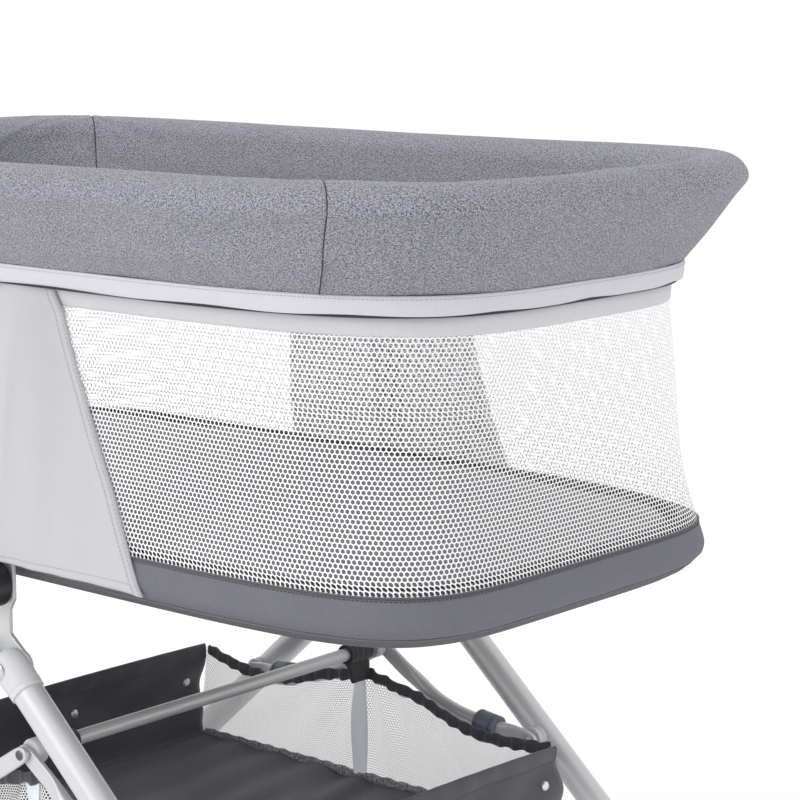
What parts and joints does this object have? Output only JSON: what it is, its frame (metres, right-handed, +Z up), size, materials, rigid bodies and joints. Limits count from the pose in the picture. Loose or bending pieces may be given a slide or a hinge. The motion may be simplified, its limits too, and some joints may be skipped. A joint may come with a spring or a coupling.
{
  "type": "bassinet on stand",
  "caption": "Oblong mesh-sided bassinet with a padded rim and mattress on a folding A-frame tube stand with casters, brace arms and a fabric storage basket.",
  "frame": {"origin": "on the floor under the middle of the tub", "axes": "+X along the tub towards the braked casters, +Y across it to the far long side, +Z up"},
  "size_m": [0.859, 0.524, 0.78],
  "materials": {
    "heather": "melange knit, padded",
    "light_grey": "smooth woven",
    "zip": "woven tape",
    "mesh": "knitted spacer mesh",
    "dark_grey": "coated woven",
    "underside": "woven",
    "mattress": "quilted",
    "board": "hardboard",
    "steel": "satin",
    "silver": "satin powder coat",
    "light_plastic": "satin",
    "black": "satin",
    "slate": "satin",
    "charcoal": "woven polyester",
    "tyre": "matte"
  },
  "bodies": {
    "tub": {"rim_tube": "steel", "rim_cover": "heather", "rim_trim": "light_grey", "zip_tape": "zip", "mesh_binding": "light_grey", "mesh_wall": "mesh", "side_panel_near": "light_grey", "side_panel_far": "light_grey", "base_band": "dark_grey", "underside_cover": "underside", "base_frame": "steel", "base_board": "board", "mattress": "mattress", "upright_near": "steel", "upright_far": "steel", "hub_plate_near": "silver", "hub_plate_far": "silver"},
    "release_near": {"release_knob_near": "black"},
    "release_far": {"release_knob_far": "black"},
    "legs_left": {"leg_frame_left": "silver", "leg_sleeve_left_near": "silver", "leg_sleeve_left_far": "silver", "arm_bracket_left_near": "light_plastic", "arm_bracket_left_far": "light_plastic"},
    "legs_right": {"leg_frame_right": "silver", "leg_sleeve_right_near": "silver", "leg_sleeve_right_far": "silver", "arm_bracket_right_near": "light_plastic", "arm_bracket_right_far": "light_plastic"},
    "brace_right": {"brace_arm_right_near": "silver", "brace_arm_right_far": "silver", "arm_clip_right_near": "slate", "arm_clip_right_far": "slate", "cross_rail": "silver", "rail_collar_near": "silver", "rail_collar_far": "silver", "rail_saddle_near": "charcoal", "rail_saddle_far": "charcoal"},
    "brace_left": {"brace_arm_left_near": "silver", "brace_arm_left_far": "silver", "arm_clip_left_near": "slate", "arm_clip_left_far": "slate"},
    "basket": {"basket_floor_and_ends": "charcoal", "basket_mesh_near": "mesh", "basket_mesh_far": "mesh"},
    "caster_left_near": {"caster_fork_left_near": "black"},
    "wheel_left_near": {"caster_wheel_left_near": "tyre"},
    "caster_left_far": {"caster_fork_left_far": "black"},
    "wheel_left_far": {"caster_wheel_left_far": "tyre"},
    "caster_right_near": {"caster_fork_right_near": "black"},
    "wheel_right_near": {"caster_wheel_right_near": "tyre"},
    "caster_right_far": {"caster_fork_right_far": "black"},
    "wheel_right_far": {"caster_wheel_right_far": "tyre"},
    "brake_near": {"brake_lever_near": "slate"},
    "brake_far": {"brake_lever_far": "slate"}
  },
  "joints": [
    {"name": "legs_right_fold", "type": "hinge", "parent": "tub", "child": "legs_right", "pos_m": [0.0175, 0, 0.3843], "axis": [0, 1, 0], "range_deg": [0, 30]},
    {"name": "legs_left_fold", "type": "hinge", "parent": "tub", "child": "legs_left", "pos_m": [-0.0175, 0, 0.3843], "axis": [0, -1, 0], "range_deg": [0, 30]},
    {"name": "brace_right_turn", "type": "hinge", "parent": "legs_right", "child": "brace_right", "pos_m": [0.17, 0, 0.24705], "axis": [0, 1, 0], "range_deg": [0, 14.5]},
    {"name": "brace_left_turn", "type": "hinge", "parent": "legs_left", "child": "brace_left", "pos_m": [-0.17, 0, 0.24705], "axis": [0, -1, 0], "range_deg": [0, 14.5]},
    {"name": "basket_lift", "type": "slide", "parent": "tub", "child": "basket", "axis": [0, 0, 1], "range_m": [0, 0.046]},
    {"name": "release_press_near", "type": "slide", "parent": "tub", "child": "release_near", "axis": [0, 1, 0], "range_m": [0, 0.003], "stiffness_N_per_m": 400},
    {"name": "release_press_far", "type": "slide", "parent": "tub", "child": "release_far", "axis": [0, -1, 0], "range_m": [0, 0.003], "stiffness_N_per_m": 400},
    {"name": "caster_swivel_left_near", "type": "hinge", "parent": "legs_left", "child": "caster_left_near", "pos_m": [-0.36117, -0.18, 0.06], "axis": [0, 0, 1], "continuous": true},
    {"name": "wheel_spin_left_near", "type": "hinge", "parent": "caster_left_near", "child": "wheel_left_near", "pos_m": [-0.37717, -0.18, 0.025], "axis": [0, 1, 0], "continuous": true},
    {"name": "caster_swivel_left_far", "type": "hinge", "parent": "legs_left", "child": "caster_left_far", "pos_m": [-0.36117, 0.18, 0.06], "axis": [0, 0, 1], "continuous": true},
    {"name": "wheel_spin_left_far", "type": "hinge", "parent": "caster_left_far", "child": "wheel_left_far", "pos_m": [-0.37717, 0.18, 0.025], "axis": [0, 1, 0], "continuous": true},
    {"name": "caster_swivel_right_near", "type": "hinge", "parent": "legs_right", "child": "caster_right_near", "pos_m": [0.36117, -0.18, 0.06], "axis": [0, 0, 1], "continuous": true},
    {"name": "wheel_spin_right_near", "type": "hinge", "parent": "caster_right_near", "child": "wheel_right_near", "pos_m": [0.37717, -0.18, 0.025], "axis": [0, 1, 0], "continuous": true},
    {"name": "caster_swivel_right_far", "type": "hinge", "parent": "legs_right", "child": "caster_right_far", "pos_m": [0.36117, 0.18, 0.06], "axis": [0, 0, 1], "continuous": true},
    {"name": "wheel_spin_right_far", "type": "hinge", "parent": "caster_right_far", "child": "wheel_right_far", "pos_m": [0.37717, 0.18, 0.025], "axis": [0, 1, 0], "continuous": true},
    {"name": "brake_press_near", "type": "hinge", "parent": "caster_right_near", "child": "brake_near", "pos_m": [0.39517, -0.18, 0.055], "axis": [0, 1, 0], "range_deg": [0, 12]},
    {"name": "brake_press_far", "type": "hinge", "parent": "caster_right_far", "child": "brake_far", "pos_m": [0.39517, 0.18, 0.055], "axis": [0, 1, 0], "range_deg": [0, 12]}
  ],
  "couplings": [
    {"joint": "legs_left_fold", "follows": "legs_right_fold", "ratio": 1},
    {"joint": "brace_right_turn", "follows": "legs_right_fold", "ratio": 0.4797},
    {"joint": "brace_left_turn", "follows": "legs_right_fold", "ratio": 0.4797},
    {"joint": "basket_lift", "follows": "legs_right_fold", "m_per_rad": 0.085}
  ]
}
